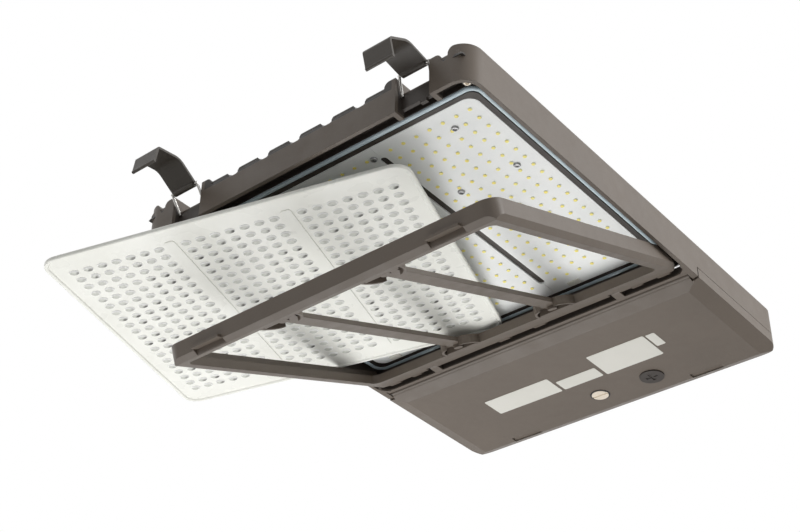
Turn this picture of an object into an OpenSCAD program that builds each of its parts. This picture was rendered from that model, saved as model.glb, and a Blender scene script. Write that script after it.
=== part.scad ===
// Shoebox area light, shown open for servicing: the lens frame hangs down on its hinge rod,
// both draw latches are thrown open and the lens panel lies loose on the frame.
// Frame of the model: X to the right, Y from the front wall (-body_l) to the arm face (0),
// Z up with 0 at the top of the side walls. The origin is the middle of the arm mount.

/* [Housing] */
// Overall width, side to side
body_w = 405; // [390:1:440]
// Overall length, front wall to arm face
body_l = 564; // [556:1:620]
// Height of the side walls above the rim
side_h = 42; // [41:0.5:50]
// Height of the front wall and of the cooling deck above the rim
front_h = 28; // [27:0.5:30]
// Plan radius of the corners
corner_r = 20; // [14:1:24]
// Thickness of the cast walls
wall = 4; // [3:0.25:5]
// Thickness of the deck over the moat
deck_t = 4; // [3:0.25:5]

/* [Cooling ridges] */
// Number of ridges across the deck
ridge_count = 10; // [6:2:10]
// Spacing of the ridges
ridge_pitch = 39.8; // [38:0.2:41]
// Width of a ridge at the deck
ridge_w = 28; // [22:1:32]
// Height of a ridge above the deck
ridge_h = 12; // [9:0.5:13]
// Height of the round crown of a ridge
crown_h = 8; // [5:0.5:9]
// Distance from the front wall to the ridges
ridge_start = 1; // [0.5:0.5:8]
// Length of the rounded nose of a ridge
nose_l = 10; // [6:0.5:14]

/* [LED bed] */
// Half width of the raised bed that carries the boards
bed_half_w = 190; // [188:0.5:191]
// Distance from the front wall to the bed
bed_front = 27; // [26:0.5:29]
// Distance from the arm face to the rear edge of the bed
bed_rear = 210; // [209:0.5:214]
// Height of the board face above the rim
led_face_h = 15.4; // [15:0.1:17]
// Thickness of a board
board_t = 1.6; // [1:0.1:2]
// Half width of the three boards together
boards_half_w = 178; // [177:0.25:178.5]
// Distance from the front wall to the boards
boards_front = 38.5; // [38:0.5:40]
// Distance from the front wall to the rear edge of the boards
boards_rear = 343; // [338:0.5:344]
// Columns of packages on a board
led_cols = 7; // [3:1:7]
// Rows of packages on a board
led_rows = 20; // [5:1:20]
// Spacing of the columns
led_pitch_x = 15.2; // [12:0.1:15.4]
// Spacing of the rows
led_pitch_y = 14.1; // [12:0.1:14.3]
// Side of a package
led_side = 3; // [2:0.1:4]
// Height of a package
led_h = 0.7; // [0.4:0.1:1]
// Distance between the centres of two boards
board_pitch = 119.6; // [119:0.2:120]
// Width of the dark slot between two boards
slot_w = 7; // [4:0.5:8]
// Length of the slot
slot_l = 263; // [200:1:270]

/* [Gasket] */
// Width of the gasket cord
gasket_w = 5; // [4:0.25:5.25]
// Distance that the gasket stands below the board face
gasket_drop = 1.2; // [0.8:0.1:1.4]

/* [Lens frame] */
// Angle at which the frame hangs open
open_deg = 20.9; // [15:0.1:25]
// Half width of the frame
frame_half_w = 195; // [193.5:0.25:196]
// Distance from the front wall to the frame when it is shut
frame_front = 22.8; // [22:0.1:24]
// Distance from the arm face to the frame when it is shut
frame_rear = 202; // [201.75:0.05:202.5]
// Height of the frame section
frame_h = 19.8; // [18:0.1:20.4]
// Gap from the rim up to the bottom of the shut frame
frame_sink = 1; // [0.5:0.1:1.5]
// Thickness of the frame walls
frame_t = 2.5; // [2:0.1:2.8]
// Width of the bottom flange along the front
flange_front = 11; // [10:0.25:13]
// Width of the bottom flange along the sides
flange_side = 13; // [11:0.25:14]
// Width of the bottom flange along the rear
flange_rear = 25; // [22:0.5:28]
// Size of the bevel along the bottom outer edge
bevel = 5; // [3:0.25:6]
// Plan radius of the frame corners
frame_r = 14; // [10:0.5:16]

/* [Cross bars] */
// Distance of each bar from the middle
bar_x = 61; // [50:0.5:66]
// Width of a bar
bar_w = 16; // [12:0.5:18]
// Depth of a bar
bar_t = 5; // [4:0.25:6.5]
// Width of the cup at each end of a bar
cup_w = 46; // [38:0.5:50]
// Reach of the cup from the flange
cup_l = 19; // [15:0.5:22]

/* [Lens panel] */
// Width of the lens panel
lens_w = 376; // [372:0.5:380]
// Length of the lens panel
lens_l = 330; // [326:0.5:332]
// Thickness of the lens panel
lens_t = 3; // [2.4:0.1:3.2]
// Plan radius of the lens corners
lens_r = 18; // [12:0.5:22]

/* [Hinge rod] */
// Radius of the hinge rod
rod_r = 2.5; // [2:0.05:2.6]
// Distance from the arm face to the rod
rod_y = 198.7; // [198:0.1:199.5]
// Height of the rod above the rim
rod_h = 6.2; // [5.8:0.1:7]
// Radial wall of a hinge eye
eye_t = 2.8; // [2:0.1:3]
// Running clearance of the hinge eyes
eye_gap = 0.1; // [0.05:0.01:0.15]

/* [Latches] */
// Distance of each latch from the middle
latch_x = 141; // [134:0.5:146]
// Width of a latch pocket
pocket_w = 38; // [36:0.5:42]
// Depth of a latch pocket
pocket_d = 9; // [8.5:0.1:9.5]
// Distance from the front wall to the bail anchor
anchor_y = 7.3; // [6.5:0.1:7.4]
// Height of the bail anchor above the rim
anchor_h = 21.7; // [20:0.1:22.5]
// Length of a bail, pin to pin
bail_l = 20.7; // [19.5:0.1:22]
// Radius of the bail wire
wire_r = 1.4; // [1:0.05:1.5]
// Width of a latch lever
lever_w = 30.6; // [28:0.2:31]
// Thickness of the lever plate
lever_t = 2.5; // [1.8:0.1:2.8]
// Straight distance from the lever eye to its lip
lever_l = 52.4; // [50:0.2:54]
// Bend of the lever plate
lever_bend = 41; // [20:1:50]
// Length of the lip
lip_l = 17.5; // [16:0.25:19]
// Lean of the left bail from upright, towards the front
bail_lean_left = 36; // [20:1:40]
// Lean of the right bail from upright, towards the front
bail_lean_right = 13; // [6:1:25]
// Angle of the left lever above level
lever_rise_left = 13.2; // [5:0.2:20]
// Angle of the right lever above level
lever_rise_right = -10.3; // [-15:0.1:0]

/* [Driver door] */
// Distance from the arm face to the front edge of the door
door_l = 179; // [178:0.25:181]
// Depth of the door below the rim
door_drop = 6.2; // [5:0.1:8]
// Thickness of the door
door_t = 3; // [2.4:0.1:3.4]
// Width of the sloped margin along the sides
margin_side = 17.8; // [14:0.1:20]
// Width of the sloped margin along the front
margin_front = 13; // [10:0.25:16]
// Width of the sloped margin along the rear
margin_rear = 13.3; // [11:0.1:16]
// Height of the parting line above the rim
parting_h = 11.5; // [10:0.25:13]
// Distance from the arm face to the captive screw and the plug
screw_y = 45; // [42:0.5:48]
// Radius of the captive screw head
screw_r = 9.6; // [8:0.1:10]
// Radius of the closing plug
plug_r = 13.7; // [12:0.1:15]
// Distance of the plug from the middle
plug_x = 67.8; // [62:0.5:74]

/* [Arm mount] */
// Distance between the two bolt holes
bolt_pitch = 62; // [56:1:64]
// Radius of a bolt hole
bolt_r = 5.5; // [4.5:0.1:5.5]
// Radius of the wire entry
entry_r = 11; // [8:0.25:12]
// Width of the arm block
block_w = 120; // [100:1:130]
// Length of the arm block
block_l = 70; // [66:1:80]
// Height of the arm block above the side walls
block_h = 46; // [44:1:54]
// Thickness of the wall that takes the arm
arm_wall = 5; // [4.5:0.25:7]
// Width of a backing plate behind the arm wall
plate_w = 44; // [30:1:60]

/* [Hidden] */
$fn = 48;
eps = 0.05;
seat_gap = 0.3;
run_gap = 0.08;
connector_h = 1.3;
connector_w = 14;
connector_d = 7;
connector_x = 40;
rim = -side_h;
deck = rim + front_h;
moat_top = deck - deck_t;
bed_face = rim + led_face_h + board_t;
led_face = rim + led_face_h;
gasket_face = led_face - gasket_drop;
inner_half_w = body_w / 2 - wall;
bead_half_w = bed_half_w - gasket_w - 1;
// trough behind the lens frame and the wall behind the trough
trough_rear = -189.5;
comp_front = -185;
comp_top = -5;
bolt_wall_face = -arm_wall;
plate_reach = 7.5;
// hinge of the lens frame
hinge_at = [0, -rod_y, rim + rod_h];
rod_half_l = inner_half_w + wall / 2;
eye_r = rod_r + eye_gap + eye_t;
frame_eyes = [[-175, 14], [-144, 12], [-23, 14], [23, 14], [144, 12], [175, 14]];
rod_lugs = [-119, 119];
lug_w = 10;
// hinge of the driver door
door_hinge = [-180, rim + 3.5];
bead_r = 3;
door_pin_r = 2;
door_pin_in = 2.6;
// shut lens frame
frame_bottom = rim + frame_sink;
frame_top = frame_bottom + frame_h;
frame_y0 = -body_l + frame_front;
frame_y1 = -frame_rear;
lens_bottom = gasket_face - seat_gap - lens_t;
rib_top = lens_bottom - seat_gap;
open_half_w = frame_half_w - flange_side;
open_y0 = frame_y0 + flange_front;
open_y1 = frame_y1 - flange_rear;
catch_reach = 5;
catch_t = 2.5;
// loose lens panel
lens_at = [-134.9, -425.9, -56.9];
lens_turn = [4.15, -4.04, 19.52];
// latches
shoulder_w = 19;
lever_eye_r = wire_r + 2;
foot_l = 4;
knee_r = 16;
lip_corner_r = 3;
lip_angle = 275.8;
elbow = 0.6 * wire_r;
pin_r = wire_r + 0.06;
// driver door
skirt_t = 3.3;
screw_shank_r = 3.2;
part_gap = 0.5;
swing_gap = 1.6;
skirt_from = 183.5;
skirt_front = -175.4;
lip_half_w = body_w / 2 - skirt_t - part_gap;
comp_half_w = lip_half_w - 3;
// what the driver compartment holds
driver_x = [-150, 110];
driver_y = [-170, -102];
driver_h = 30;
ear_l = 10;
ear_t = 2;
ear_y = [-150, -122];
bracket_x = [-140, 85];
bracket_w = 15;
bracket_t = 1;
bracket_over = 8;
protector_x = [-150, -98];
protector_y = [-80, -45];
protector_h = 28;
terminal_x = [95, 145];
terminal_y = [-75, -51];
terminal_h = 20;
terminal_slot = [4, 12, 15, 8];

module plan(x, y0, y1, r) {
    translate([-x + r, y0]) square([2 * (x - r), y1 - y0]);
    translate([-x, y0 + r]) square([2 * x, y1 - y0 - 2 * r]);
    for (i = [-1, 1]) for (y = [y0 + r, y1 - r]) translate([i * (x - r), y]) circle(r);
}

module slab(x, y0, y1, r, z0, z1) {
    translate([0, 0, z0]) linear_extrude(z1 - z0) plan(x, y0, y1, r);
}

module box(x0, x1, y0, y1, z0, z1) {
    translate([x0, y0, z0]) cube([x1 - x0, y1 - y0, z1 - z0]);
}

// a profile drawn in X and Z, run from y0 to y1
module run_y(y0, y1) {
    translate([0, y1, 0]) rotate([90, 0, 0]) linear_extrude(y1 - y0) children();
}

// a profile drawn in Y and Z, run from x0 to x1
module run_x(x0, x1) {
    translate([x0, 0, 0]) rotate([90, 0, 90]) linear_extrude(x1 - x0) children();
}

module rod_x(x0, x1, r) {
    translate([x0, 0, 0]) rotate([0, 90, 0]) cylinder(h = x1 - x0, r = r);
}

// everything inside turns about the hinge rod to the open position
module hung_open() {
    translate(hinge_at) rotate([open_deg, 0, 0]) translate(-hinge_at) children();
}

// S-curve flank between two levels, rising towards +X over a run equal to the rise
module flank(x, z0, z1) {
    r = (z1 - z0) / 2;
    difference() {
        translate([x, z0 - 1]) square([2 * r, r + 1]);
        translate([x, z0 + r]) circle(r);
    }
    intersection() {
        translate([x + 2 * r, z0 + r]) circle(r);
        translate([x + r, z0 + r - 1]) square([r, r + 1]);
    }
}

module crown() {
    r = (pow(ridge_w / 2, 2) + pow(crown_h, 2)) / (2 * crown_h);
    translate([-ridge_w / 2, -1]) square([ridge_w, ridge_h - crown_h + 1]);
    intersection() {
        translate([0, ridge_h - r]) circle(r, $fn = 96);
        translate([-ridge_w / 2, ridge_h - crown_h - eps]) square([ridge_w, crown_h + 2 * eps]);
    }
}

module ridge(y0, y1) {
    r = ridge_h;
    intersection() {
        translate([0, 0, deck]) run_y(y0, y1) crown();
        run_x(-ridge_w, ridge_w) {
            translate([y0 + nose_l, deck - 1]) square([y1 - y0 - nose_l, ridge_h + 1]);
            intersection() {
                translate([y0 + nose_l, deck]) circle(r, $fn = 96);
                translate([y0, deck - 1]) square([nose_l + eps, ridge_h + 1]);
            }
            translate([y0, deck - 1]) square([nose_l + eps, 1 + ridge_h / 3]);
        }
    }
}

module ridges() {
    first = -(ridge_count - 1) / 2 * ridge_pitch;
    for (i = [0 : ridge_count - 1]) {
        x = first + i * ridge_pitch;
        behind_latch = abs(abs(x) - latch_x) < pocket_w / 2;
        start = -body_l + (behind_latch ? 34 : ridge_start);
        translate([x, 0, 0]) ridge(start, comp_front + 2);
    }
}

// raised shoulder of the front wall, either side of a latch pocket
module latch_shoulders() {
    top = deck + ridge_h;
    edge = pocket_w / 2 + shoulder_w;
    for (s = [-1, 1]) translate([s * latch_x, 0, 0]) run_y(-body_l, -body_l + 22) {
        translate([-edge, 0]) flank(0, deck, top);
        mirror([1, 0]) translate([-edge, 0]) flank(0, deck, top);
        translate([-edge + ridge_h - eps, deck - 1]) square([2 * (edge - ridge_h + eps), ridge_h + 1]);
    }
}

module latch_pocket_walls() {
    half = pocket_w / 2 + 5;
    y1 = -body_l + pocket_d + wall;
    for (s = [-1, 1]) {
        box(s * latch_x - half, s * latch_x + half, -body_l + wall - eps, y1, rim, deck);
        box(s * latch_x + 2, s * latch_x + 10, y1 - wall, y1, rim + 5, rim + 10);
    }
}

module latch_pocket_cuts() {
    half = pocket_w / 2;
    y0 = -body_l - 1;
    face = -body_l + pocket_d;
    for (s = [-1, 1]) {
        x = s * latch_x;
        box(x - half, x + half, y0, face, rim - 1, 2);
        box(x - half, x + half, y0, face + 2, rim + 23.5, 2);
        box(x - half, x + half, y0, -body_l + 33, deck, 2);
        box(x - half, x - 9, y0, face + wall + 1, rim - 1, rim + 8);
        box(x + 9, x + half, y0, face + wall + 1, rim - 1, rim + 8);
        box(x - half, x + half, y0, face + wall + 1, rim - 1, rim + 5);
        box(x - half, x + 2, y0, face + wall + 1, rim - 1, rim + 8);
        translate([x, -body_l + anchor_y, rim + anchor_h])
            rod_x(-half - foot_l, half + foot_l, pin_r + run_gap);
    }
}

module upper_cut() {
    rise = side_h - front_h;
    x = body_w / 2 - corner_r - wall;
    foot = body_w / 2 - corner_r + rise - wall - 5;
    run_y(-body_l - 1, comp_front) difference() {
        translate([-inner_half_w, deck]) square([2 * inner_half_w, rise + 1]);
        for (m = [0, 1]) mirror([m, 0]) {
            flank(foot - rise, deck, 0);
            translate([foot - eps, deck - 1]) square([corner_r, rise + 1]);
        }
    }
    // the corner posts are as deep as the front wall's corners
    for (s = [-1, 1]) box(s > 0 ? x : -inner_half_w, s > 0 ? inner_half_w : -x,
        -body_l + corner_r + 6, comp_front, deck, 1);
}

module arm_block() {
    intersection() {
        slab(block_w / 2, -block_l, 0, 6, -10, block_h);
        run_x(-block_w, block_w) {
            translate([-block_l, -10]) square([block_l, block_h - 14]);
            translate([-block_l + 24, 0]) square([block_l - 24, block_h]);
            translate([-block_l + 24, block_h - 24]) circle(24, $fn = 96);
        }
    }
}

module bed() {
    slab(bed_half_w, -body_l + bed_front, -bed_rear, 14, bed_face, deck - 1);
    difference() {
        slab(bead_half_w, -body_l + bed_front + gasket_w + 1, -bed_rear - gasket_w - 1, 10, led_face, bed_face + 1);
        slab(boards_half_w + 0.6, -body_l + boards_front - 0.6, -body_l + boards_rear + 0.6, 12.6,
            led_face - 1, bed_face);
    }
}

module rod_supports() {
    for (x = rod_lugs) translate([x - lug_w / 2, hinge_at[1], hinge_at[2]]) {
        rod_x(0, lug_w, eye_r);
        translate([0, 0, -eye_r]) cube([lug_w, trough_rear - hinge_at[1] + 1, 2 * eye_r]);
    }
    for (s = [-1, 1]) translate([s > 0 ? inner_half_w - 2.5 : -inner_half_w - 1, hinge_at[1], hinge_at[2]])
        rod_x(0, 3.5, eye_r);
    for (s = [-1, 1]) translate([s > 0 ? inner_half_w - 4 : -inner_half_w - 1, door_hinge[0], door_hinge[1]])
        rod_x(0, 5, door_pin_r + 2.5);
}

module screw_boss() {
    translate([0, -screw_y, rim + 11]) cylinder(h = 18, r = 7);
    box(-4, 4, -screw_y, -arm_wall + 1, rim + 19, rim + 29);
}

module housing() color([0.34, 0.3, 0.27]) {
    difference() {
        union() {
            difference() {
                slab(body_w / 2, -body_l, 0, corner_r, rim, 0);
                upper_cut();
            }
            ridges();
            latch_shoulders();
            arm_block();
        }
        // moat, trough and the room below the bed
        difference() {
            slab(inner_half_w, -body_l + wall, trough_rear, corner_r - wall, rim - 1, moat_top);
            bed();
            latch_pocket_walls();
            for (s = [-1, 1]) translate([s * (inner_half_w - 5.5), -body_l + wall + 7, rim + 3])
                cylinder(h = front_h, r = 5);
            rod_supports();
        }
        latch_pocket_cuts();
        // driver compartment
        difference() {
            union() {
                slab(comp_half_w, comp_front + 20, bolt_wall_face, corner_r - 8, rim - 1, comp_top);
                box(-comp_half_w, comp_half_w, comp_front, -60, rim - 1, comp_top);
                slab(block_w / 2 - 6, -block_l + 6, bolt_wall_face, 4, comp_top - 1, block_h - 22);
                slab(block_w / 2 - 6, -block_l + 22, bolt_wall_face, 4, comp_top - 1, block_h - 6);
            }
            screw_boss();
        }
        // the wall behind the trough ends above the rim
        box(-comp_half_w, comp_half_w, trough_rear - 1, comp_front + 1, rim - 1, rim + 1);
        // room for the skirt of the driver door
        difference() {
            box(-body_w, body_w, skirt_front - swing_gap, 1, rim - 1, rim + parting_h);
            slab(lip_half_w, comp_front - 30, -skirt_t - part_gap, corner_r - skirt_t - part_gap, rim - 2, 0);
            box(-skirt_from + part_gap, skirt_from - part_gap, -40, 2, rim - 2, 0);
        }
        // rod and door pin seats
        translate(hinge_at) rod_x(-rod_half_l, rod_half_l, rod_r + 0.05);
        for (s = [-1, 1]) translate([s > 0 ? inner_half_w - 5 : -rod_half_l, door_hinge[0], door_hinge[1]])
            rod_x(0, rod_half_l - inner_half_w + 5, door_pin_r + 0.1);
        // captive screw seat, bolt holes and wire entry
        translate([0, -screw_y, rim + 10]) cylinder(h = 14, r = 5);
        for (s = [-1, 1]) translate([0, 1, s * bolt_pitch / 2]) rotate([90, 0, 0]) cylinder(h = arm_wall + 2, r = bolt_r);
        translate([0, 1, 0]) rotate([90, 0, 0]) cylinder(h = arm_wall + 2, r = entry_r);
    }
}

module gasket() color([0.55, 0.6, 0.63]) difference() {
    slab(bed_half_w - 0.5, -body_l + bed_front + 0.5, -bed_rear - 0.5, 13.5, gasket_face, bed_face);
    slab(bed_half_w - 0.5 - gasket_w, -body_l + bed_front + 0.5 + gasket_w, -bed_rear - 0.5 - gasket_w, 9,
        gasket_face - 1, bed_face + 1);
}

module led_packages(x) {
    y = -body_l + (boards_front + boards_rear) / 2;
    x0 = x - (led_cols - 1) / 2 * led_pitch_x;
    y0 = y - (led_rows - 1) / 2 * led_pitch_y - 4.6;
    for (i = [0 : led_cols - 1]) for (j = [0 : led_rows - 1])
        translate([x0 + i * led_pitch_x - led_side / 2, y0 + j * led_pitch_y - led_side / 2, led_face - led_h])
            cube([led_side, led_side, led_h + eps]);
}

// i is -1, 0 or 1, from left to right
module led_board(i) color([0.93, 0.93, 0.9]) {
    seam = board_pitch / 2;
    slot_y0 = -body_l + 57;
    difference() {
        slab(boards_half_w, -body_l + boards_front, -body_l + boards_rear, 12, led_face, bed_face);
        if (i > -1) box(-body_w, i * board_pitch - seam + 0.2, -body_l, 0, rim, 0);
        if (i < 1) box(i * board_pitch + seam - 0.2, body_w, -body_l, 0, rim, 0);
        for (s = [-1, 1]) {
            x = s * seam;
            box(x - slot_w / 2, x + slot_w / 2, slot_y0 + slot_w / 2, slot_y0 + slot_l - slot_w / 2, rim, 0);
            for (y = [slot_y0 + slot_w / 2, slot_y0 + slot_l - slot_w / 2])
                translate([x, y, rim]) cylinder(h = side_h, r = slot_w / 2);
        }
    }
    led_packages(i * board_pitch);
}

module board_connectors() color([0.9, 0.88, 0.8])
    for (i = [-1, 0, 1])
        translate([i * board_pitch - connector_x, -body_l + boards_rear - connector_d - 2, led_face - connector_h])
            difference() {
                cube([connector_w, connector_d, connector_h]);
                translate([1, connector_d - 3, 0.3]) cube([connector_w - 2, 4, 0.7]);
            }

module hinge_rod() color([0.7, 0.7, 0.72]) translate(hinge_at) rod_x(-rod_half_l, rod_half_l, rod_r);

// outer form of the frame section, drawn in by d on every side
module frame_block(d, z0, z1) {
    low = frame_bottom + d;
    x = frame_half_w - d;
    y0 = frame_y0 + d;
    y1 = frame_y1 - d;
    over = bevel + 1;
    intersection() {
        slab(x, y0, y1, frame_r - d, z0 - 1, z1);
        run_y(y0 - 1, y1 + 1) polygon([[-x + bevel, low], [x - bevel, low], [x + 1, low + over],
            [x + 1, z1 + 1], [-x - 1, z1 + 1], [-x - 1, low + over]]);
        run_x(-x - 1, x + 1) polygon([[y0 + bevel, low], [y1 + 1, low], [y1 + 1, z1 + 1],
            [y0 - 1, z1 + 1], [y0 - 1, low + over]]);
    }
}

module frame_opening(d, z0, z1) {
    slab(open_half_w + d, open_y0 - d, open_y1 + d, 8 + d, z0, z1);
}

module frame_ribs() difference() {
    frame_opening(frame_t, frame_bottom + 0.5, rib_top);
    frame_opening(0, frame_bottom - 1, rib_top + 1);
    for (s = [-1, 1]) box(s * bar_x - bar_w / 2 - 0.3, s * bar_x + bar_w / 2 + 0.3, frame_y0, frame_y1,
        frame_bottom + frame_t, rib_top + 1);
}

module lens_frame() color([0.3, 0.26, 0.23]) hung_open() difference() {
    union() {
        difference() {
            frame_block(0, frame_bottom, frame_top);
            difference() {
                frame_block(frame_t, frame_bottom + frame_t, frame_top + 1);
                frame_ribs();
            }
            frame_opening(0, frame_bottom - 1, frame_top);
            // the rear wall stands lower, so that it clears the bed as it swings
            box(-frame_half_w + frame_t, frame_half_w - frame_t, frame_y1 - 8, frame_y1 + 1, frame_top - 4, frame_top + 1);
            // catch recesses in the bottom outer edge
            for (s = [-1, 1]) box(s * latch_x - pocket_w / 2, s * latch_x + pocket_w / 2, frame_y0 - 1, frame_y0 + 4.5,
                frame_bottom - 1, frame_bottom + 6.4);
        }
        for (s = [-1, 1]) {
            x = s * latch_x;
            box(x - pocket_w / 2 - 2, x + pocket_w / 2 + 2, frame_y0 + 4, frame_y0 + 7, frame_bottom + 1, frame_bottom + 7);
            box(x - pocket_w / 2 + 1, x + pocket_w / 2 - 1, frame_y0 - catch_reach, frame_y0 + 7,
                frame_bottom + 6, frame_bottom + 6 + catch_t);
        }
        for (e = frame_eyes) translate([e[0] - e[1] / 2, hinge_at[1], hinge_at[2]]) {
            rod_x(0, e[1], eye_r);
            translate([0, -5.5, -eye_r]) cube([e[1], 5.5, eye_r]);
        }
    }
    translate(hinge_at) rod_x(-rod_half_l, rod_half_l, rod_r + eye_gap);
    for (x = rod_lugs) box(x - lug_w / 2 - 1.5, x + lug_w / 2 + 1.5, frame_y1 - 7, frame_y1 + 1, frame_bottom - 1, frame_top);
}

// half-round cup at an end of a bar, open towards +Y and drawn at the flange edge
module bar_cup() {
    z1 = rib_top;
    z0 = frame_bottom;
    intersection() {
        difference() {
            translate([0, 0, z0]) cylinder(h = z1 - z0, r = cup_w / 2);
            translate([0, 0, z0 - 1]) cylinder(h = z1 - z0 - 2, r = cup_w / 2 - frame_t);
        }
        box(-cup_w, cup_w, 0.2, cup_l, z0 - 2, z1 + 1);
    }
    translate([0, 8, z0 + 1]) cylinder(h = z1 - z0 - 1, r = 5);
    box(-cup_w / 2 + 4, cup_w / 2 - 4, 0.2, 3, z0, z1);
}

module cross_bar(s) color([0.32, 0.28, 0.25]) hung_open() translate([s * bar_x, 0, 0]) {
    box(-bar_w / 2, bar_w / 2, open_y0 - flange_front + frame_t + 3.5, open_y1 + flange_rear - frame_t - 3.5,
        rib_top - bar_t, rib_top);
    translate([0, open_y0, 0]) bar_cup();
    translate([0, open_y1, 0]) mirror([0, 1, 0]) bar_cup();
}

module lens_panel() color([0.85, 0.88, 0.88, 0.7]) translate(lens_at) rotate(lens_turn) {
    slab(lens_w / 2, -lens_l / 2, lens_l / 2, lens_r, -lens_t / 2, lens_t / 2);
}

// a point at a distance and an angle in the Y and Z plane
function polar(l, a) = [l * cos(a), l * sin(a)];
function pivot(lean) = [-body_l + anchor_y, rim + anchor_h] + polar(bail_l, 90 + lean);

module bail(s, lean) color([0.8, 0.8, 0.82]) {
    a = [-body_l + anchor_y, rim + anchor_h];
    p = pivot(lean);
    side = pocket_w / 2 - wire_r - 0.8;
    for (i = [-1, 1]) {
        x = s * latch_x + i * side;
        translate([x, a[0], a[1]]) rotate([lean, 0, 0]) translate([0, 0, -elbow]) cylinder(h = bail_l + 2 * elbow, r = wire_r);
        translate([x - i * elbow, a[0], a[1]]) rotate([0, i * 90, 0]) cylinder(h = foot_l + wire_r + elbow, r = pin_r);
    }
    translate([s * latch_x, p[0], p[1]]) rod_x(-side - elbow, side + elbow, pin_r);
}

// points along an arc
function arc(c, r, a0, a1, n) = [for (i = [0 : n]) c + polar(r, a0 + (a1 - a0) * i / n)];
function across(p, i) = let (d = p[min(i + 1, len(p) - 1)] - p[max(i - 1, 0)]) [-d[1], d[0]] / norm(d);

// sheet of thickness t along a path
module strip(p, t) {
    n = len(p) - 1;
    polygon(concat([for (i = [0 : n]) p[i] + across(p, i) * t / 2],
        [for (i = [n : -1 : 0]) p[i] - across(p, i) * t / 2]));
}

// plate of the lever in its own plane: eye at the origin, then straight, knee, straight,
// lip corner at lever_l along -X, and the lip
module lever_profile() {
    half_bend = lever_bend / 2;
    apex = [-lever_l / 2, lever_l / 2 * tan(half_bend)];
    knee = arc(apex - [0, knee_r / cos(half_bend)], knee_r, 90 - half_bend, 90 + half_bend, 6);
    corner = [-lever_l, 0];
    run = polar(1, 180 + half_bend);
    turn = lip_angle - 180 - half_bend;
    set_back = lip_corner_r * tan(turn / 2);
    round_end = arc(corner - run * set_back + polar(lip_corner_r, 270 + half_bend),
        lip_corner_r, 90 + half_bend, 90 + half_bend + turn, 5);
    strip(concat([[0, 0]], knee, round_end, [corner + polar(lip_l, lip_angle)]), lever_t);
}

module lever(s, lean, rise) color([0.27, 0.25, 0.24]) {
    p = pivot(lean);
    half = lever_w / 2;
    x = s * latch_x;
    difference() {
        translate([x, p[0], p[1]]) rotate([-rise, 0, 0]) union() {
            run_x(-half, half) lever_profile();
            rod_x(-half + 2, half - 2, lever_eye_r);
            translate([0, -lever_l + lip_l * cos(lip_angle), lip_l * sin(lip_angle)])
                rod_x(-half, half, lever_t / 2 + 0.4);
        }
        translate([x, p[0], p[1]]) rod_x(-half - 1, half + 1, pin_r + run_gap);
    }
}

// outer form of the door pan, drawn in by d
module door_block(d) {
    low = rim - door_drop + d;
    w = body_w / 2 - d;
    intersection() {
        slab(w, skirt_front - 30, -d, corner_r - d, low - 1, rim + parting_h - part_gap);
        run_y(-body_l, 0) polygon([[-w + margin_side, low], [w - margin_side, low], [w, rim - 0.6 + d / 2],
            [w, rim + parting_h - part_gap + 1], [-w, rim + parting_h - part_gap + 1], [-w, rim - 0.6 + d / 2]]);
        run_x(-body_w, body_w) polygon([[-door_l + margin_front + d / 3, low], [-margin_rear - d, low], [-d, rim - 0.6 + d / 2],
            [-d, 0], [-door_l + d, 0], [-door_l + d, rim - 0.6 + d / 2]]);
    }
}

module driver_door() color([0.38, 0.34, 0.3]) difference() {
    union() {
        // pan below the rim
        intersection() {
            difference() {
                door_block(0);
                door_block(door_t);
            }
            box(-body_w, body_w, -door_l - 1, 1, rim - 20, rim - 0.5);
        }
        // skirts that continue the side walls down to the pan
        intersection() {
            difference() {
                door_block(0);
                slab(body_w / 2 - skirt_t, -body_l, -skirt_t, corner_r - skirt_t, rim - 0.6, 0);
            }
            union() {
                box(skirt_from, body_w, skirt_front, 1, rim - 2, 0);
                box(-body_w, -skirt_from, skirt_front, 1, rim - 2, 0);
            }
        }
        // rolled front edge that turns on the hinge pins
        translate([0, door_hinge[0], door_hinge[1]]) rod_x(-inner_half_w + 4.3, inner_half_w - 4.3, bead_r);
        run_x(-inner_half_w + 4.3, inner_half_w - 4.3) polygon([[door_hinge[0] - 2.2, door_hinge[1] - 1.5],
            [-door_l, rim - 0.6], [-door_l + 6, rim - 3.2], [-door_l + 6, rim - 0.7], [door_hinge[0] + 2, door_hinge[1]]]);
    }
    translate([0, door_hinge[0], door_hinge[1]]) for (s = [-1, 1])
        rod_x(s > 0 ? inner_half_w - 20 : -inner_half_w - 1, s > 0 ? inner_half_w + 1 : -inner_half_w + 20, door_pin_r);
    translate([0, -screw_y, rim - 20]) cylinder(h = 30, r = 5.2);
    translate([0, -screw_y, rim - 20]) cylinder(h = 20 - door_drop + 2, r = screw_r + 1);
    translate([plug_x, -screw_y, rim - 20]) cylinder(h = 30, r = plug_r - 2);
    // the front corners stop short of the side walls
    for (s = [-1, 1]) box(s > 0 ? inner_half_w - 4 : -body_w, s > 0 ? body_w : -inner_half_w + 4, -door_l - 5, skirt_front,
        rim - 20, rim + 2);
    // pull notches in the rear edge
    for (s = [-1, 1]) box(s * 121 - 19, s * 121 + 19, -21.5, -12, rim - 20, rim - door_drop + 2);
}

module door_hinge_pins() color([0.7, 0.7, 0.72]) translate([0, door_hinge[0], door_hinge[1]]) for (s = [-1, 1])
    rod_x(s > 0 ? inner_half_w - 20 : -inner_half_w - wall / 2, s > 0 ? inner_half_w + wall / 2 : -inner_half_w + 20, door_pin_r);

module captive_screw() color([0.75, 0.72, 0.66]) translate([0, -screw_y, rim - door_drop]) {
    difference() {
        translate([0, 0, -1]) cylinder(h = 2.95, r = screw_r);
        translate([-screw_r - 1, -1.3, -2]) cube([2 * screw_r + 2, 2.6, 2]);
    }
    cylinder(h = 22, r = screw_shank_r);
}

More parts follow.
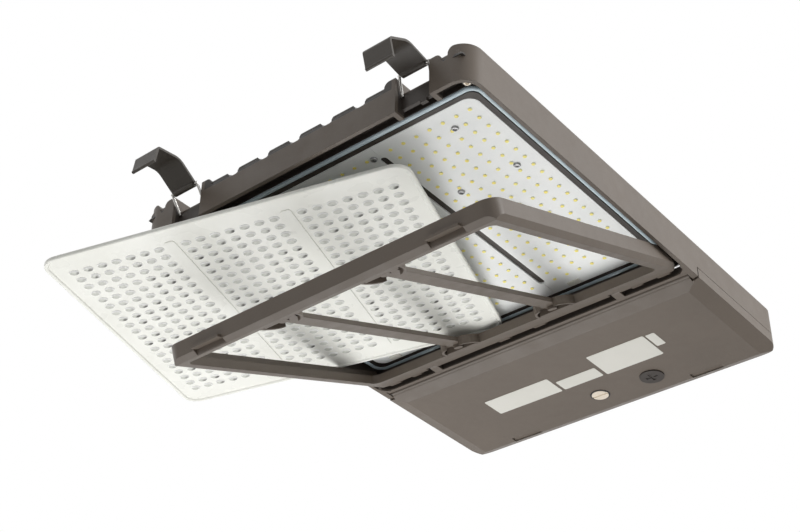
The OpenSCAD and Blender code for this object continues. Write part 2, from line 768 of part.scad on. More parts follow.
module closing_plug() color([0.3, 0.27, 0.25]) translate([plug_x, -screw_y, rim - door_drop]) {
    difference() {
        translate([0, 0, -1.5]) cylinder(h = 1.5, r = plug_r);
        translate([-7, -1.6, -2]) cube([14, 3.2, 1.4]);
        translate([-1.6, -7, -2]) cube([3.2, 14, 1.4]);
    }
    translate([0, 0, -eps]) cylinder(h = 7, r = plug_r - 2.1);
}

module led_driver() color([0.75, 0.76, 0.77]) {
    top = comp_top - bracket_t;
    box(driver_x[0], driver_x[1], driver_y[0], driver_y[1], top - driver_h, top);
    for (x = [driver_x[0] - ear_l, driver_x[1]]) box(x, x + ear_l, ear_y[0], ear_y[1], top - ear_t, top);
}

module driver_bracket() color([0.6, 0.6, 0.62]) for (x = bracket_x)
    box(x, x + bracket_w, driver_y[0] - bracket_over, driver_y[1] + bracket_over, comp_top - bracket_t, comp_top);

module surge_protector() color([0.2, 0.2, 0.22])
    box(protector_x[0], protector_x[1], protector_y[0], protector_y[1], comp_top - protector_h, comp_top);

module terminal_block() color([0.15, 0.15, 0.16]) difference() {
    box(terminal_x[0], terminal_x[1], terminal_y[0], terminal_y[1], comp_top - terminal_h, comp_top);
    for (i = [0, 1, 2]) {
        x = terminal_x[0] + terminal_slot[0] + i * terminal_slot[2];
        box(x, x + terminal_slot[1], terminal_y[0] - 1, terminal_y[1] + 1, comp_top - terminal_h - 1,
            comp_top - terminal_h + terminal_slot[3]);
    }
}

module arm_backing_plate() color([0.65, 0.65, 0.66]) for (s = [-1, 1]) difference() {
    z = s * bolt_pitch / 2;
    box(-plate_w / 2, plate_w / 2, bolt_wall_face - 4, bolt_wall_face, z - plate_reach, z + plate_reach);
    translate([0, 1, z]) rotate([90, 0, 0]) cylinder(h = 20, r = bolt_r);
}

housing();
gasket();
led_board(-1);  // led_board_left
led_board(0);  // led_board_middle
led_board(1);  // led_board_right
board_connectors();
hinge_rod();
lens_frame();
cross_bar(-1);  // cross_bar_left
cross_bar(1);  // cross_bar_right
lens_panel();
bail(-1, bail_lean_left);  // latch_bail_left
bail(1, bail_lean_right);  // latch_bail_right
lever(-1, bail_lean_left, lever_rise_left);  // latch_lever_left
lever(1, bail_lean_right, lever_rise_right);  // latch_lever_right
driver_door();
door_hinge_pins();
captive_screw();
closing_plug();
led_driver();
driver_bracket();
surge_protector();
terminal_block();
arm_backing_plate();
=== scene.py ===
import math
import bmesh
import bpy
from mathutils import Euler, Matrix, Vector


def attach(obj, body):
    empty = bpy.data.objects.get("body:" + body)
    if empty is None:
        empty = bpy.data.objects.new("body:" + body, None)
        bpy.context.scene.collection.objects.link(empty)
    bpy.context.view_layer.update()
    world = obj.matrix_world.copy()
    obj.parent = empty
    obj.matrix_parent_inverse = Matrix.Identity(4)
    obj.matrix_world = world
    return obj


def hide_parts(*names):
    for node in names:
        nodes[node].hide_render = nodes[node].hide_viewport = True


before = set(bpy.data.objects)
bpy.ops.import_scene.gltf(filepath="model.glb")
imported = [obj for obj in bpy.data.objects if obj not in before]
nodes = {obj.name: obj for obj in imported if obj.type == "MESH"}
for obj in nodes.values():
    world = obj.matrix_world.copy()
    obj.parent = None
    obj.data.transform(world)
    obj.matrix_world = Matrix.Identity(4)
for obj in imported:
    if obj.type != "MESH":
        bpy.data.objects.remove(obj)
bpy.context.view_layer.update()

scene = bpy.context.scene
mm = 0.001


# camera

viewPoint = {"at": (0.7590, -1.3288, -0.9015), "lens": 67.15, "sensor": 36.0,
             "right": (0.77660, 0.62992, 0.00989), "up": (0.35427, -0.44964, 0.81995),
             "back": (0.52095, -0.63327, -0.57235)}


def setCamera(v):
    data = bpy.data.cameras.new("camera")
    data.sensor_fit, data.sensor_width, data.lens = "HORIZONTAL", v["sensor"], v["lens"]
    data.clip_end = 50
    cam = bpy.data.objects.new("camera", data)
    scene.collection.objects.link(cam)
    turn = Matrix((v["right"], v["up"], v["back"])).transposed()
    cam.matrix_world = Matrix.Translation(v["at"]) @ turn.to_4x4()
    scene.camera = cam


setCamera(viewPoint)
scene.view_settings.view_transform = "Standard"


# shader helper

class Wire:                                   # a socket on which sums can be written
    def __init__(self, shade, socket):
        self.shade, self.socket = shade, socket

    def sum(self, operation, other, swap=False):
        a, b = (other, self) if swap else (self, other)
        return self.shade.add("ShaderNodeMath", {"operation": operation}, {0: a, 1: b})

    def __add__(self, other):
        return self.sum("ADD", other)

    def __radd__(self, other):
        return self.sum("ADD", other, True)

    def __sub__(self, other):
        return self.sum("SUBTRACT", other)

    def __rsub__(self, other):
        return self.sum("SUBTRACT", other, True)

    def __mul__(self, other):
        return self.sum("MULTIPLY", other)

    def __rmul__(self, other):
        return self.sum("MULTIPLY", other, True)


class Shade:                                  # a material with one Principled shader
    def __init__(self, name, **fixed):
        self.mat = bpy.data.materials.new(name)
        self.mat.use_nodes = True
        self.tree = self.mat.node_tree
        self.shader = self.tree.nodes["Principled BSDF"]
        for key, value in fixed.items():
            self.shader.inputs[key].default_value = value

    def add(self, kind, settings=None, inputs=None, out=0):
        made = self.tree.nodes.new(kind)
        for key, value in (settings or {}).items():
            setattr(made, key, value)
        for key, value in (inputs or {}).items():
            if isinstance(value, Wire):
                self.tree.links.new(value.socket, made.inputs[key])
            else:
                made.inputs[key].default_value = value
        return Wire(self, made.outputs[out])

    def feed(self, name, wire):
        self.tree.links.new(wire.socket, self.shader.inputs[name])

    def place(self):
        return self.add("ShaderNodeTexCoord", out="Object")

    def noise(self, scale, detail=3.0, rough=0.5, where=None):
        return self.add("ShaderNodeTexNoise", {}, {"Vector": where or self.place(), "Scale": scale,
                                                   "Detail": detail, "Roughness": rough}, "Fac")

    def spread(self, wire, low, high, newLow=0.0, newHigh=1.0):
        return self.add("ShaderNodeMapRange", {}, {"Value": wire, "From Min": low, "From Max": high,
                                                   "To Min": newLow, "To Max": newHigh})

    def vector(self, operation, a, b=None, out="Vector"):
        inputs = {0: a} if b is None else {0: a, 1: b}
        return self.add("ShaderNodeVectorMath", {"operation": operation}, inputs, out)

    def along(self, wire, axis):
        return self.add("ShaderNodeSeparateXYZ", {}, {0: wire}, axis)

    def mixColour(self, fac, a, b):           # sockets 0, 6, 7 and output 2 are the colour ones of a Mix node
        return self.add("ShaderNodeMix", {"data_type": "RGBA"}, {0: fac, 6: a, 7: b}, 2)

    def relief(self, height, depth, soft=None):
        inputs = {"Height": height, "Distance": depth, "Strength": 1.0}
        if soft is not None:
            inputs["Normal"] = soft
        self.feed("Normal", self.add("ShaderNodeBump", {}, inputs))

    def softEdges(self, radius):
        return self.add("ShaderNodeBevel", {"samples": 4}, {"Radius": radius})


def rgb(r, g, b):                             # written as the eye sees it, kept as the shader needs it
    return tuple(((c / 255 + 0.055) / 1.055) ** 2.4 if c > 10 else c / 255 / 12.92 for c in (r, g, b)) + (1.0,)


# finishes

coat = {"colour": rgb(99, 89, 79), "dark": rgb(84, 75, 66), "grain": 1500, "cloud": 9, "roughness": 0.46,
        "depth": 0.00006, "edge": 0.0008, "fade": 0.0008}


def powderCoat(name, colour, dark, roughness, edge=coat["edge"], shadeBoxes=()):
    s = Shade(name, Roughness=roughness, IOR=1.48)
    cloud = s.spread(s.noise(coat["cloud"], 2), 0.3, 0.7)
    speck = s.spread(s.noise(coat["grain"] * 0.6, 2), 0.62, 0.75)
    glint = tuple(min(1, c * 1.5) for c in colour[:3]) + (1,)
    tone = s.mixColour(cloud * 0.45, colour, dark)
    tone = s.mixColour(speck * 0.35, tone, glint)
    for shadeBox in shadeBoxes:                        # painted shade: deep and sheltered places are darkened in the coat colour
        away = s.vector("ABSOLUTE", s.vector("SUBTRACT", s.place(), shadeBox["middle"]))
        left = s.vector("SUBTRACT", shadeBox["half"], away)
        shadeMask = s.spread(shadeBox["corner"] - s.along(away, "X") - s.along(away, "Y"), 0.0, coat["fade"])
        for axis in ("X", "Y", "Z"):
            shadeMask = shadeMask * s.spread(s.along(left, axis), 0.0, coat["fade"])
        tone = s.mixColour(shadeMask * shadeBox["depth"], tone, shadeBox["colour"])
    s.feed("Base Color", tone)
    peel = s.noise(coat["grain"], 2) + s.noise(coat["grain"] * 0.22, 1) * 0.8
    s.feed("Roughness", s.spread(s.noise(60, 3), 0.3, 0.7, roughness - 0.05, roughness + 0.07))
    s.relief(peel, coat["depth"], s.softEdges(edge))
    return s.mat


def solderMask(name):
    s = Shade(name, Roughness=0.4, IOR=1.45)
    cloud = s.spread(s.noise(30, 2), 0.3, 0.7)
    s.feed("Base Color", s.mixColour(cloud, rgb(249, 250, 248), rgb(243, 245, 243)))
    s.relief(s.noise(900, 2), 0.00002)
    return s.mat


def phosphor(name):
    s = Shade(name, Roughness=0.35)
    cloud = s.spread(s.noise(260, 1), 0.35, 0.65)
    s.feed("Base Color", s.mixColour(cloud, rgb(255, 246, 150), rgb(255, 236, 118)))
    s.relief(s.noise(2500, 1), 0.00002)
    return s.mat


def metal(name, light, shade, roughness, grain, stretch=(1, 1, 1), depth=0.00001, metallic=1.0, edge=0.0):
    s = Shade(name, Metallic=metallic, Roughness=roughness)
    where = s.add("ShaderNodeMapping", {}, {"Vector": s.place(), "Scale": stretch})
    grainy = s.noise(grain, 4, where=where)
    s.feed("Base Color", s.mixColour(s.spread(grainy, 0.3, 0.7), light, shade))
    s.feed("Roughness", s.spread(grainy, 0.3, 0.7, roughness - 0.06, roughness + 0.08))
    s.relief(grainy, depth, s.softEdges(edge) if edge else None)
    return s.mat


def plastic(name, colour, shade, roughness, grain=1200, depth=0.00002, edge=0.0004):
    s = Shade(name, Roughness=roughness)
    s.feed("Base Color", s.mixColour(s.spread(s.noise(grain * 0.05, 2), 0.3, 0.7), colour, shade))
    s.relief(s.noise(grain, 2), depth, s.softEdges(edge) if edge else None)
    return s.mat


def frosted(name, clear, shade, roughness, cover):
    s = Shade(name, Roughness=roughness, IOR=1.49, Alpha=cover)
    s.feed("Base Color", s.mixColour(s.spread(s.noise(14, 2), 0.35, 0.65), clear, shade))
    s.feed("Roughness", s.spread(s.noise(40, 2), 0.3, 0.7, roughness * 0.8, roughness * 1.2))
    return s.mat


def lensletGlass(name, look):                 # painted highlight on the edge, painted shade in the core and darker in patches, by the way each lenslet faces
    s = Shade(name, IOR=1.49, Roughness=0.06, Alpha=look["cover"])
    facing = s.add("ShaderNodeNewGeometry", out="Normal")
    core = s.spread(s.vector("DOT_PRODUCT", facing, look["axis"], "Value"), 0.80, 0.93)
    broad, fine = s.noise(look["patchScale"], 3, 0.6), s.noise(look["patchScale"] * 4.5, 2)
    patch = s.spread(broad * 0.6 + fine * 0.4, 0.47, 0.60)
    deep = s.spread(s.vector("DOT_PRODUCT", facing, look["lean"], "Value"), 0.90, 0.97) * patch
    tone = s.mixColour(core, look["edge"], look["core"])
    s.feed("Base Color", s.mixColour(deep, tone, look["deep"]))
    return s.mat


# colours and directions of the painted highlight and painted shade on the lenslets
lensLook = {"edge": rgb(255, 255, 253), "core": rgb(206, 207, 199), "deep": rgb(64, 64, 59), "cover": 0.9,
            "patchScale": 22, "axis": (-0.06, 0.06, -0.99), "lean": (0.30, 0.30, -0.90)}
# boxes in metres in which the housing's coat is darkened as painted shade, in the moat and behind the ridge
# noses
moatShade = {"middle": (0.0, -0.3745, -0.0275), "half": (0.1990, 0.1860, 0.0123), "corner": 0.3778,
        "colour": rgb(44, 39, 35), "depth": 0.8}
noseShade = {"middle": (0.0, -0.5520, -0.0055), "half": (0.1180, 0.0140, 0.0082), "corner": 1.0,
         "colour": rgb(36, 32, 29), "depth": 0.85}

finish = {
    "housingCoat": powderCoat("housingCoat", coat["colour"], coat["dark"], coat["roughness"],
                              shadeBoxes=(moatShade, noseShade)),
    "frameCoat": powderCoat("frameCoat", rgb(98, 88, 78), rgb(84, 75, 66), 0.44, 0.0006),
    "doorCoat": powderCoat("doorCoat", rgb(100, 90, 80), rgb(86, 77, 68), 0.46, 0.0008),
    # painted shade: the levers take a darker copy of the housing paint
    "leverCoat": powderCoat("leverCoat", rgb(70, 64, 57), rgb(56, 51, 46), 0.4, 0.0004),
    "plugCoat": powderCoat("plugCoat", rgb(55, 48, 43), rgb(45, 40, 36), 0.46, 0.0006),
    "rubber": plastic("gasketRubber", rgb(212, 228, 234), rgb(196, 212, 220), 0.2, 800, 0.00003, 0),
    "mask": solderMask("boardMask"),
    "phosphor": phosphor("ledPhosphor"),
    "wire": metal("springWire", rgb(214, 212, 208), rgb(180, 178, 174), 0.2, 500),
    "steel": metal("zincSteel", rgb(190, 190, 190), rgb(150, 150, 150), 0.32, 300),
    "screw": metal("nickelScrew", rgb(240, 229, 212), rgb(226, 214, 196), 0.35, 400, (1, 8, 1),
                   metallic=0.35, edge=0.0006),
    "aluminium": metal("caseAluminium", rgb(200, 201, 203), rgb(178, 180, 182), 0.38, 200, (1, 30, 1),
                       edge=0.0006),
    "blackPlastic": plastic("blackPlastic", rgb(36, 36, 38), rgb(28, 28, 30), 0.45),
    "paleNylon": plastic("paleNylon", rgb(226, 224, 214), rgb(212, 209, 198), 0.42),
    "label": plastic("labelFilm", rgb(213, 211, 203), rgb(206, 204, 195), 0.42, 300, 0.00001, 0),
    "lens": frosted("lensSheet", rgb(253, 253, 246), rgb(246, 246, 238), 0.3, 0.9),
    "lenslet": lensletGlass("lensOptic", lensLook),
    # painted shade: a darker copy of the housing paint for the ridge noses
    "noseShadeCoat": powderCoat("noseShadeCoat", rgb(46, 42, 38), rgb(36, 33, 30), 0.5, 0.0008),
}
print("finishes made")

nodeFinish = {
    "housing": "housingCoat", "gasket": "rubber", "led_board_left": "mask", "led_board_middle": "mask",
    "led_board_right": "mask", "board_connectors": "paleNylon", "hinge_rod": "steel",
    "lens_frame": "frameCoat", "cross_bar_left": "frameCoat", "cross_bar_right": "frameCoat",
    "lens_panel": "lens", "latch_bail_left": "wire", "latch_bail_right": "wire",
    "latch_lever_left": "leverCoat", "latch_lever_right": "leverCoat", "driver_door": "doorCoat",
    "door_hinge_pins": "steel", "captive_screw": "screw", "closing_plug": "plugCoat",
    "led_driver": "aluminium", "driver_bracket": "steel", "surge_protector": "blackPlastic",
    "terminal_block": "blackPlastic", "arm_backing_plate": "steel",
}
for name, kind in nodeFinish.items():
    slots = nodes[name].data.materials
    slots.clear()
    slots.append(finish[kind])


# making pieces

def pieceFrom(name, mesh, kind, body):
    if kind:
        mesh.materials.clear()
        mesh.materials.append(finish[kind])
    piece = bpy.data.objects.new(name, mesh)
    scene.collection.objects.link(piece)
    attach(piece, body)
    return piece


def fromBmesh(name, bm, kind, body, sharpAngle):
    mesh = bpy.data.meshes.new(name)
    bm.to_mesh(mesh)
    bm.free()
    mesh.set_sharp_from_angle(angle=math.radians(sharpAngle))
    return pieceFrom(name, mesh, kind, body)


def bridge(bm, loops):                        # walls between loops of equal length, one after the other
    for a, b in zip(loops, loops[1:]):
        for i in range(len(a)):
            j = (i + 1) % len(a)
            bm.faces.new((a[i], a[j], b[j], b[i]))


def circle(r, sides):
    turns = (2 * math.pi * i / sides for i in range(sides))
    return [(r * math.cos(a), r * math.sin(a)) for a in turns]


def roundedOutline(x0, x1, y0, y1, r, steps):
    corners = ((x1 - r, y1 - r, 0), (x0 + r, y1 - r, 90), (x0 + r, y0 + r, 180), (x1 - r, y0 + r, 270))
    out = []
    for cx, cy, start in corners:
        for i in range(steps + 1):
            a = math.radians(start + 90 * i / steps)
            out.append((cx + r * math.cos(a), cy + r * math.sin(a)))
    return out


def plateBmesh(outline, z0, z1, bevel=0.0):
    bm = bmesh.new()
    face = bm.faces.new([bm.verts.new((x * mm, y * mm, z0 * mm)) for x, y in outline])
    raised = bmesh.ops.extrude_face_region(bm, geom=[face])
    top = [v for v in raised["geom"] if isinstance(v, bmesh.types.BMVert)]
    bmesh.ops.translate(bm, vec=(0, 0, (z1 - z0) * mm), verts=top)
    bmesh.ops.recalc_face_normals(bm, faces=bm.faces)
    if bevel:
        rimEdges = [e for e in bm.edges if len(e.link_faces) == 2 and e.calc_face_angle(0) > 1.0]
        bmesh.ops.bevel(bm, geom=rimEdges, offset=bevel * mm, segments=2, affect="EDGES")
    return bm


class Nodes:                                  # a Geometry Nodes tree written line by line
    def __init__(self, name, inputs):
        self.tree = bpy.data.node_groups.new(name, "GeometryNodeTree")
        self.tree.interface.new_socket("Geometry", in_out="OUTPUT", socket_type="NodeSocketGeometry")
        kinds = {int: "NodeSocketInt", float: "NodeSocketFloat"}
        for label, value in inputs.items():
            socket = self.tree.interface.new_socket(label, in_out="INPUT", socket_type=kinds[type(value)])
            socket.default_value = value
        self.source = self.tree.nodes.new("NodeGroupInput")
        self.sink = self.tree.nodes.new("NodeGroupOutput")

    def add(self, kind, settings=None, inputs=None):
        made = self.tree.nodes.new(kind)
        for key, value in (settings or {}).items():
            setattr(made, key, value)
        for key, value in (inputs or {}).items():
            if isinstance(value, bpy.types.NodeSocket):
                self.tree.links.new(value, made.inputs[key])
            else:
                made.inputs[key].default_value = value
        return made

    def given(self, label):
        return self.source.outputs[label]

    def maths(self, operation, a, b):
        return self.add("ShaderNodeMath", {"operation": operation}, {0: a, 1: b}).outputs[0]

    def reach(self, count, pitch):            # from the first to the last of a row
        gaps = self.maths("SUBTRACT", self.given(count), 1.0)
        return self.maths("MULTIPLY", gaps, self.given(pitch))

    def onPoints(self, points, shape, scale=(1.0, 1.0, 1.0)):
        inputs = {"Points": points, "Instance": shape, "Scale": scale}
        return self.add("GeometryNodeInstanceOnPoints", {}, inputs).outputs[0]

    def field(self, shape, scale=(1.0, 1.0, 1.0)):   # a grid of the shape, once for each board or lens field
        sizes = {"Vertices X": self.given("Columns"), "Size X": self.reach("Columns", "PitchX"),
                 "Vertices Y": self.given("Rows"), "Size Y": self.reach("Rows", "PitchY")}
        grid = self.add("GeometryNodeMeshGrid", {}, sizes)
        left = self.maths("MULTIPLY", self.reach("Fields", "FieldPitch"), -0.5)
        corner = {0: left, 1: self.given("MiddleY"), 2: self.given("Level")}
        start = self.add("ShaderNodeCombineXYZ", {}, corner)
        step = self.add("ShaderNodeCombineXYZ", {}, {0: self.given("FieldPitch")})
        spots = {"Count": self.given("Fields"), "Start Location": start.outputs[0], "Offset": step.outputs[0]}
        line = self.add("GeometryNodeMeshLine", {"mode": "OFFSET"}, spots)
        return self.onPoints(line.outputs[0], self.onPoints(grid.outputs["Mesh"], shape, scale))

    def dress(self, geometry, material):
        real = self.add("GeometryNodeRealizeInstances", {}, {0: geometry})
        dressed = self.add("GeometryNodeSetMaterial", {}, {"Geometry": real.outputs[0], "Material": material})
        self.tree.links.new(dressed.outputs[0], self.sink.inputs[0])
        return self.tree


def grown(tree, values):                      # runs the tree once and returns the plain mesh
    holder = bpy.data.objects.new("holder", bpy.data.meshes.new("seed"))
    scene.collection.objects.link(holder)
    mod = holder.modifiers.new("grow", "NODES")
    mod.node_group = tree
    for item in tree.interface.items_tree:
        if item.in_out == "INPUT" and item.name in values:
            mod[item.identifier] = values[item.name]
    graph = bpy.context.evaluated_depsgraph_get()
    mesh = bpy.data.meshes.new_from_object(holder.evaluated_get(graph))
    bpy.data.objects.remove(holder)
    return mesh


# LED boards

leds = {"columns": 7, "rows": 20, "pitchX": 15.2, "pitchY": 14.1, "boards": 3, "boardPitch": 119.6,
        "middleY": -377.85, "face": -26.6, "side": 3.8, "dome": 0.35, "lift": 0.7}


def ledMesh(d):
    sizes = {"Columns": d["columns"], "Rows": d["rows"], "Fields": d["boards"],
             "PitchX": d["pitchX"] * mm, "PitchY": d["pitchY"] * mm, "FieldPitch": d["boardPitch"] * mm,
             "MiddleY": d["middleY"] * mm, "Level": (d["face"] - d["lift"]) * mm,
             "Side": d["side"] * mm, "Height": d["dome"] * mm}
    g = Nodes("ledPackages", sizes)
    chip = g.add("GeometryNodeMeshCylinder", {}, {"Vertices": 12, "Depth": g.given("Height"),
                                                  "Radius": g.maths("MULTIPLY", g.given("Side"), 0.5)})
    return grown(g.dress(g.field(chip.outputs["Mesh"]), finish["phosphor"]), sizes)


phosphorFaces = ledMesh(leds)
pieceFrom("led_phosphor", phosphorFaces, None, "housing")
print("LEDs", len(phosphorFaces.polygons))


# board screws

boardScrews = {"face": -26.6, "headR": 3.6, "headH": 1.9, "recessR": 1.9, "recessH": 0.7, "sunk": 0.3,
               "spots": ((139.1, -499.2), (152.5, -421.6), (87.1, -421.0), (52.7, -510.5), (139.1, -253.2))}


def spunScrew(bm, at, profile):               # radius and height pairs from the axis outwards, head down
    rings, sides = [], 20
    for r, h in profile:
        spots = circle(r, sides) if r else [(0, 0)]
        rings.append([bm.verts.new(((at[0] + x) * mm, (at[1] + y) * mm, (at[2] - h) * mm)) for x, y in spots])
    for a, b in zip(rings, rings[1:]):
        for i in range(sides):
            j = (i + 1) % sides
            if len(a) == 1:
                bm.faces.new((a[0], b[i], b[j]))
            elif len(b) == 1:
                bm.faces.new((a[i], b[0], a[j]))
            else:
                bm.faces.new((a[i], b[i], b[j], a[j]))


def boardScrewPiece(b):
    bm = bmesh.new()
    recess, head, low = b["recessR"], b["headR"], -b["sunk"]
    profile = [(0, b["recessH"]), (recess, b["recessH"]), (recess * 1.15, b["headH"]),
               (head * 0.78, b["headH"]), (head, b["headH"] * 0.45), (head, low), (0, low)]
    for x, y in b["spots"]:
        for side in (-1, 1):
            spunScrew(bm, (side * x, y, b["face"]), profile)
    bmesh.ops.recalc_face_normals(bm, faces=bm.faces)
    fromBmesh("board_screws", bm, "steel", "housing", 40)


boardScrewPiece(boardScrews)
print("board screws")


# gasket

gasketCord = {"x": 187.0, "front": -534.0, "rear": -213.0, "corner": 11.0, "width": 4.6, "top": -25.0,
              "drop": 2.8, "cross": ((-0.5, 0), (-0.5, 0.45), (-0.36, 0.8), (0, 1.0),
                                     (0.36, 0.8), (0.5, 0.45), (0.5, 0))}


def gasketPiece(g):                           # the cross-section is in shares of the width and the drop
    x, y0, y1 = g["x"], g["front"], g["rear"]
    bm = bmesh.new()
    rings = []
    for across, deep in g["cross"]:
        off = across * g["width"]
        path = roundedOutline(-x - off, x + off, y0 - off, y1 + off, g["corner"] + off, 8)
        z = g["top"] - deep * g["drop"]
        rings.append([bm.verts.new((px * mm, py * mm, z * mm)) for px, py in path])
    bridge(bm, rings + rings[:1])
    bmesh.ops.recalc_face_normals(bm, faces=bm.faces)
    piece = fromBmesh("gasket_cord", bm, "rubber", "housing", 60)
    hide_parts("gasket")


gasketPiece(gasketCord)
print("gasket")


# lens panel

lens = {"at": (-134.9, -425.9, -56.9), "turn": (4.15, -4.04, 19.52), "w": 376, "l": 330, "t": 3.0,
        "corner": 18, "lipH": 1.4, "lipW": 3.4, "lipFoot": 4.6, "round": 0.8,
        "bandW": 11, "bandL": 286, "bandH": 0.8, "bandCorner": 3, "bandSunk": 0.2, "bandEdge": 0.3,
        "pitchX": 15.2, "pitchY": 14.1, "columns": 7, "rows": 20, "fields": 3, "fieldPitch": 119.6,
        "opticR": 5.6, "opticH": 2.2, "opticL": 0.82, "opticSink": 0.4}


def lensPlace():
    turn = Euler([math.radians(a) for a in lens["turn"]], "XYZ").to_matrix().to_4x4()
    return Matrix.Translation([c * mm for c in lens["at"]]) @ turn


def lensSheet():
    w, l, t, r = lens["w"] / 2, lens["l"] / 2, lens["t"] / 2, lens["round"]
    bottom = -t - lens["lipH"]
    bm = bmesh.new()
    loops = []
    for inset, z in ((r, t), (0, t - r), (0, bottom + r), (r, bottom), (lens["lipW"], bottom),
                     (lens["lipFoot"], -t)):
        path = roundedOutline(-w + inset, w - inset, -l + inset, l - inset, lens["corner"] - inset, 8)
        loops.append([bm.verts.new((x * mm, y * mm, z * mm)) for x, y in path])
    bridge(bm, loops)
    bm.faces.new(loops[0])
    bm.faces.new(list(reversed(loops[-1])))
    for side in (-1, 1):                      # smooth raised bands between the three fields
        x, half = side * lens["fieldPitch"] / 2, lens["bandW"] / 2
        end = lens["bandL"] / 2
        outline = roundedOutline(x - half, x + half, -end, end, lens["bandCorner"], 4)
        band = plateBmesh(outline, -t - lens["bandH"], -t + lens["bandSunk"], lens["bandEdge"])
        shape = bpy.data.meshes.new("band")
        band.to_mesh(shape)
        band.free()
        bm.from_mesh(shape)
    bmesh.ops.recalc_face_normals(bm, faces=bm.faces)
    bmesh.ops.transform(bm, matrix=lensPlace(), verts=bm.verts)
    piece = fromBmesh("lens_sheet", bm, "lens", "lens_panel", 30)
    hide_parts("lens_panel")


def opticMesh(d):
    sizes = {"Columns": d["columns"], "Rows": d["rows"], "Fields": d["fields"],
             "PitchX": d["pitchX"] * mm, "PitchY": d["pitchY"] * mm, "FieldPitch": d["fieldPitch"] * mm,
             "MiddleY": 0.0, "Level": (d["opticSink"] - d["t"] / 2) * mm,
             "Radius": d["opticR"] * mm, "Squash": d["opticH"] / d["opticR"]}
    g = Nodes("lensOptics", sizes)
    ball = g.add("GeometryNodeMeshUVSphere", {}, {"Segments": 14, "Rings": 8, "Radius": g.given("Radius")})
    scale = g.add("ShaderNodeCombineXYZ", {}, {0: 1.0, 1: d["opticL"], 2: g.given("Squash")})
    mesh = grown(g.dress(g.field(ball.outputs["Mesh"], scale.outputs[0]), finish["lenslet"]), sizes)
    mesh.transform(lensPlace())
    mesh.shade_smooth()
    return mesh


lensSheet()
lenslets = opticMesh(lens)
pieceFrom("lens_optics", lenslets, None, "lens_panel")
print("lens", len(lenslets.polygons))


# bare labels on the door

labels = {"face": -48.2, "t": 0.25, "sunk": 0.1, "corner": 1.6, "plates": {
    "label_left": (-114.3, -28.1, -111.8, -79.1), "label_middle": (-24.3, 26.9, -99.6, -79.6),
    "label_right": (31.5, 103.4, -123.2, -78.7), "label_small": (105.6, 116.3, -121.7, -95.8)}}


def labelPlates():
    for name, (x0, x1, y0, y1) in labels["plates"].items():
        outline = roundedOutline(x0, x1, y0, y1, labels["corner"], 4)
        bm = plateBmesh(outline, labels["face"] - labels["t"], labels["face"] + labels["sunk"])
        fromBmesh(name, bm, "label", "driver_door", 30)


labelPlates()
print("labels")


# dark ring of painted shade round the screw, corner screws and ridge noses

# painted shade: a dark ring laid over the gap round the captive screw, where the recess is in shade
screwShadeRing = {"x": 0, "y": -45.0, "face": -48.2, "inner": 9.7, "outer": 11.4, "proud": 0.35, "sunk": 0.4}


def screwShadeRingPiece(c):
    bm = bmesh.new()
    low, high = c["face"] - c["proud"], c["face"] + c["sunk"]
    rings = []
    for r, z in ((c["inner"], low), (c["inner"], high), (c["outer"], high), (c["outer"], low)):
        rings.append([bm.verts.new(((c["x"] + x) * mm, (c["y"] + y) * mm, z * mm)) for x, y in circle(r, 40)])
    bridge(bm, rings + rings[:1])
    bmesh.ops.recalc_face_normals(bm, faces=bm.faces)
    fromBmesh("screw_shade_ring", bm, "blackPlastic", "driver_door", 40)


cornerScrews = {"x": 193.0, "y": -553.0, "z": -39.0, "r": 3.6, "h": 1.6, "recessH": 0.5, "sunk": 0.4}


def cornerScrewPiece(c):
    bm = bmesh.new()
    r, h, low = c["r"], c["h"], -c["sunk"]
    profile = [(0, c["recessH"]), (r * 0.45, c["recessH"]), (r * 0.52, h), (r * 0.8, h), (r, h * 0.5),
               (r, low), (0, low)]
    for side in (-1, 1):
        spunScrew(bm, (side * c["x"], c["y"], c["z"]), profile)
    bmesh.ops.recalc_face_normals(bm, faces=bm.faces)
    fromBmesh("corner_screws", bm, "screw", "housing", 40)


ridgeNoses = {"pitch": 39.8, "at": (-4.5, -2.5, -1.5, -0.5, 0.5, 1.5, 2.5, 4.5), "halfW": 17.0, "halfL": 15.0,
              "middleY": -548.8, "rise": 15.4, "fall": 2.4, "sunk": 0.6, "deck": -14.0, "steps": 14}


def noseHeight(n, u, v):                      # u across and v along, -1 to 1; lower towards the rear
    top = n["rise"] - n["fall"] * max(0, v)
    return top * math.sqrt(max(0, 1 - u * u)) * math.sqrt(max(0, 1 - v * v)) - n["sunk"]


def ridgeNosePiece(n):                        # smooth cast noses in front of the cooling ridges
    bm = bmesh.new()
    steps = n["steps"]
    shares = [-math.cos(math.pi * i / steps) for i in range(steps + 1)]
    for place in n["at"]:
        middleX = place * n["pitch"]
        rows = [[bm.verts.new(((middleX + n["halfW"] * u) * mm, (n["middleY"] + n["halfL"] * v) * mm,
                               (n["deck"] + noseHeight(n, u, v)) * mm)) for v in shares] for u in shares]
        for i in range(steps):
            for j in range(steps):
                bm.faces.new((rows[i][j], rows[i + 1][j], rows[i + 1][j + 1], rows[i][j + 1]))
        front, back = [row[0] for row in rows], [row[steps] for row in rows]
        edge = front + rows[steps][1:] + back[-2::-1] + rows[0][-2:0:-1]
        bm.faces.new(list(reversed(edge)))
    bmesh.ops.recalc_face_normals(bm, faces=bm.faces)
    # the noses wear the darker copy of the housing paint as painted shade
    fromBmesh("ridge_noses", bm, "noseShadeCoat", "housing", 40)


ridgeNosePiece(ridgeNoses)
screwShadeRingPiece(screwShadeRing)
cornerScrewPiece(cornerScrews)
print("small parts")


# lamps, sky and floor

lamps = {"world": 0.38,
         "soft": (("keyBelow", (-0.45, -0.1, -1.28), 1.7, 19.0), ("fillLeft", (-1.8, -0.9, -0.3), 1.2, 2.0),
                  ("fromAbove", (0.2, -0.3, 1.8), 1.6, 12.0), ("rightSide", (1.8, 0.35, 0.45), 1.2, 28.0)),
         "target": (0.0, -0.28, -0.03)}
floorPaper = {"level": -1.35, "half": 6.0}


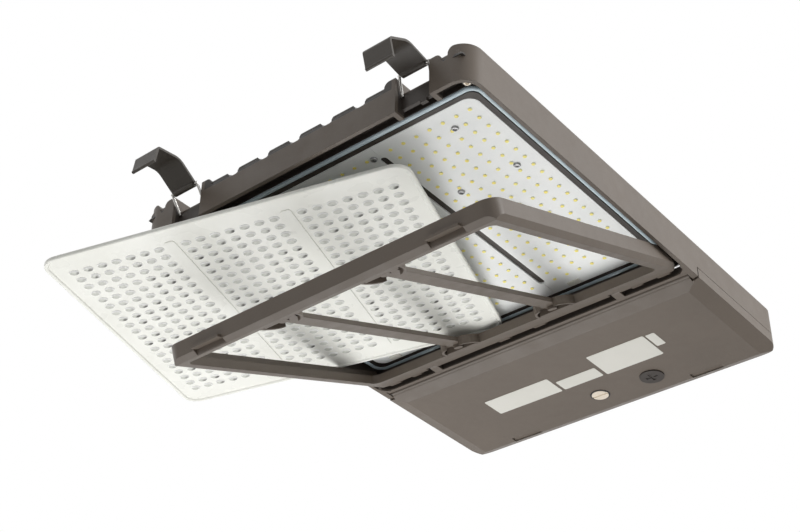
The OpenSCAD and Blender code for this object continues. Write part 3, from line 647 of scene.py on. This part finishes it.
def setLamps():
    for name, at, size, watts in lamps["soft"]:
        data = bpy.data.lights.new(name, "AREA")
        data.shape, data.size, data.energy = "DISK", size, watts
        lamp = bpy.data.objects.new(name, data)
        scene.collection.objects.link(lamp)
        lamp.location = at
        lamp.rotation_euler = (Vector(lamps["target"]) - Vector(at)).to_track_quat("-Z", "Y").to_euler()


def larger(tree, a, b):
    node = tree.nodes.new("ShaderNodeMath")
    node.operation = "MAXIMUM"
    tree.links.new(a, node.inputs[0])
    tree.links.new(b, node.inputs[1])
    return node.outputs[0]


def setWorld():                               # a dim sky that is seen, mirrored and looked through as white
    world = bpy.data.worlds.new("studio")
    scene.world = world
    world.use_nodes = True
    tree = world.node_tree
    base = tree.nodes["Background"]
    seen = tree.nodes.new("ShaderNodeBackground")
    for sky, strength in ((base, lamps["world"]), (seen, 1.0)):
        sky.inputs["Color"].default_value = (1, 1, 1, 1)
        sky.inputs["Strength"].default_value = strength
    path = tree.nodes.new("ShaderNodeLightPath").outputs
    direct = larger(tree, path["Is Camera Ray"], path["Is Glossy Ray"])
    mix = tree.nodes.new("ShaderNodeMixShader")
    tree.links.new(larger(tree, direct, path["Is Transmission Ray"]), mix.inputs[0])
    tree.links.new(base.outputs[0], mix.inputs[1])
    tree.links.new(seen.outputs[0], mix.inputs[2])
    tree.links.new(mix.outputs[0], tree.nodes["World Output"].inputs["Surface"])


def setFloor(f):
    bm = bmesh.new()
    place = Matrix.Translation((0, 0, f["level"]))
    bmesh.ops.create_grid(bm, x_segments=2, y_segments=2, size=f["half"], matrix=place)
    mesh = bpy.data.meshes.new("floor")
    bm.to_mesh(mesh)
    bm.free()
    s = Shade("floorPaper", Roughness=0.9)
    s.feed("Base Color", s.mixColour(s.noise(3, 2), (0.86, 0.86, 0.86, 1), (0.82, 0.82, 0.82, 1)))
    mesh.materials.append(s.mat)
    floor = bpy.data.objects.new("floor", mesh)
    scene.collection.objects.link(floor)


setLamps()
setWorld()
setFloor(floorPaper)
print("light and floor")
